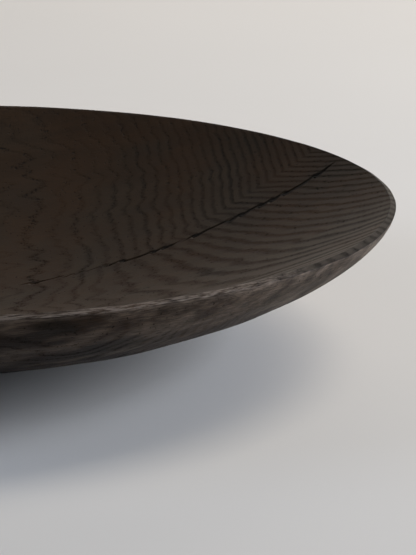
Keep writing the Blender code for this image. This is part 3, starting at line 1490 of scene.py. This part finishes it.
@dataclass(frozen=True)
class SoftBox:
    """A rectangular studio lamp: where it stands, what it looks at, its size, power and colour."""

    name: str
    place: tuple[float, float, float]
    target: tuple[float, float, float]
    width: float
    height: float
    watts: float
    colour: str

    def build(self) -> None:
        """Put the lamp into the scene."""
        data = bpy.data.lights.new(self.name, "AREA")
        data.shape, data.size, data.size_y = "RECTANGLE", self.width, self.height
        data.energy, data.color = self.watts, linear(self.colour)[:3]
        lamp = bpy.data.objects.new(self.name, data)
        lamp.location = self.place
        gaze = mathutils.Vector(self.target) - mathutils.Vector(self.place)
        lamp.rotation_euler = gaze.to_track_quat("-Z", "Y").to_euler()
        bpy.context.scene.collection.objects.link(lamp)


@dataclass(frozen=True)
class Studio:
    """Pale floor, soft lamps, sky fill and the camera."""

    floor_size: float = 8.0
    floor_gap: float = 0.1 * MM
    camera_place: tuple[float, float, float] = (0.0890, -1.1335, 0.3097)
    camera_pitch: float = math.radians(14.454)
    # The lens: its focal length and the image's long side in one unit, and the sensor's width.
    focal_length: float = 3600.0
    image_long_side: float = 555.0
    sensor_mm: float = 36.0
    clip: tuple[float, float] = (0.05, 50.0)
    sky: str = "e0e2e4"
    sky_strength: float = 0.055
    lamps: tuple[SoftBox, ...] = (
        SoftBox("key_behind_right", (1.1, 1.1, 1.5), (0.0, 0.0, 0.0), 1.0, 1.0, 20.5, "fff5e8"),
        SoftBox("window_right", (1.7, 0.0, 0.6), (0.0, 0.0, 0.0), 1.0, 1.0, 40.0, "e6eeff"),
        SoftBox("window_left", (-1.7, 0.0, 0.6), (0.0, 0.0, 0.0), 1.0, 1.0, 10.0, "d2e2ff"),
        SoftBox("low_behind", (0.3, 2.2, 0.6), (0.0, 0.0, 0.0), 1.0, 1.0, 9.5, "fff3e6"),
    )

    def build_floor(self) -> bpy.types.Object:
        """Make the floor, a flat sheet a hair below the bowl's base, so that the two don't coincide.

        Returns:
            The floor.
        """
        reach = self.floor_size / 2.0
        sides = np.array([[-1.0, -1.0], [1.0, -1.0], [1.0, 1.0], [-1.0, 1.0]])
        corners = np.column_stack([reach * sides, np.full(4, -self.floor_gap)])
        floor = new_piece(build_mesh("paper_floor", corners, [(0, 1, 2, 3)]))
        floor.data.materials.append(PaperSweep().build())
        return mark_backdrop(floor) or floor

    def build_camera(self) -> None:
        """Place the camera: level roll, looking along +Y and down by the pitch."""
        data = bpy.data.cameras.new("camera")
        data.sensor_width = self.sensor_mm
        data.lens = self.focal_length / self.image_long_side * self.sensor_mm
        data.clip_start, data.clip_end = self.clip
        camera = bpy.data.objects.new("camera", data)
        camera.location = self.camera_place
        camera.rotation_euler = (math.pi / 2.0 - self.camera_pitch, 0.0, 0.0)
        bpy.context.scene.collection.objects.link(camera)
        bpy.context.scene.camera = camera

    def build(self) -> None:
        """Set up floor, light and camera."""
        self.build_floor()
        for lamp in self.lamps:
            lamp.build()
        world = bpy.data.worlds.new("soft_sky")
        world.use_nodes = True
        sky = world.node_tree.nodes["Background"]
        sky.inputs["Color"].default_value = linear(self.sky)
        sky.inputs["Strength"].default_value = self.sky_strength
        bpy.context.scene.world = world
        bpy.context.scene.view_settings.view_transform = "Standard"
        self.build_camera()


def main() -> None:
    """Build every piece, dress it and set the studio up."""
    logging.basicConfig(level=logging.INFO)
    low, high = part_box(BOWL_NODE)
    section = Section(rim_radius=(high.x - low.x) / 2.0, height=high.z - low.z)
    spans = tuple((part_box(node)[0].x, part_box(node)[1].x) for node in FILL_NODES)
    check = DryingCheck(section, spans)
    wood = StainedAsh().build()
    wax = BlackWax().build()
    body = BowlBody(section, GrowthRings(section.rim_radius, section.height), check, ToolMarks())
    body.dress(body.build(), wood)
    for node, (start, end) in zip(FILL_NODES, spans):
        stopping = CheckStopping(check, node, start, end)
        stopping.dress(stopping.build(), wax)
    Studio().build()


if __name__ == "__main__":
    main()
